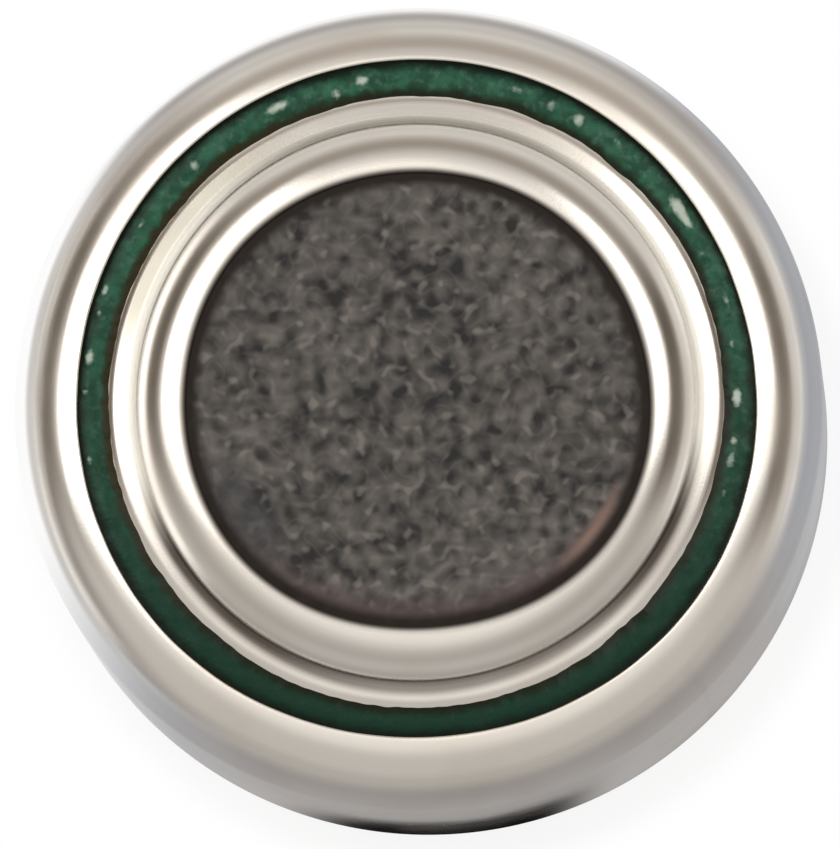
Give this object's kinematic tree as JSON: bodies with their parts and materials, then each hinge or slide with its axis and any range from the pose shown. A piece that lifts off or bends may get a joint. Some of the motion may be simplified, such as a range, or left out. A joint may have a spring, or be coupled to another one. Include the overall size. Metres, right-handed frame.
{
  "type": "alkaline button cell",
  "caption": "Short round battery cell: crimped metal can, green sealing ring and stepped metal cap with a flat matte face, with its contents inside.",
  "frame": {"origin": "centre of the positive base, on the surface that the cell stands on", "axes": "+Z along the axis of revolution, from the positive base to the negative face; X and Y are any two directions across it"},
  "size_m": [0.0116, 0.0116, 0.0054],
  "materials": {
    "can_nickel": "bright nickel plate, faintly drawn",
    "cathode_mix": "pressed black powder",
    "ring_steel": "plain pressed steel",
    "film": "thin amber film",
    "felt": "damp white felt",
    "gasket_nylon": "dark green nylon under a glossy lacquer",
    "sealing_lacquer": "glossy dark green lacquer",
    "zinc_gel": "grey metal powder in a wet gel",
    "cap_nickel": "bright nickel plate with a dark matte coined disc"
  },
  "bodies": {
    "root": {"positive_can": "can_nickel", "cathode_pellet": "cathode_mix", "support_ring": "ring_steel", "barrier_film": "film", "absorbent_pad": "felt", "gasket": "gasket_nylon", "sealant": "sealing_lacquer", "anode_gel": "zinc_gel", "negative_cap": "cap_nickel"}
  },
  "joints": []
}
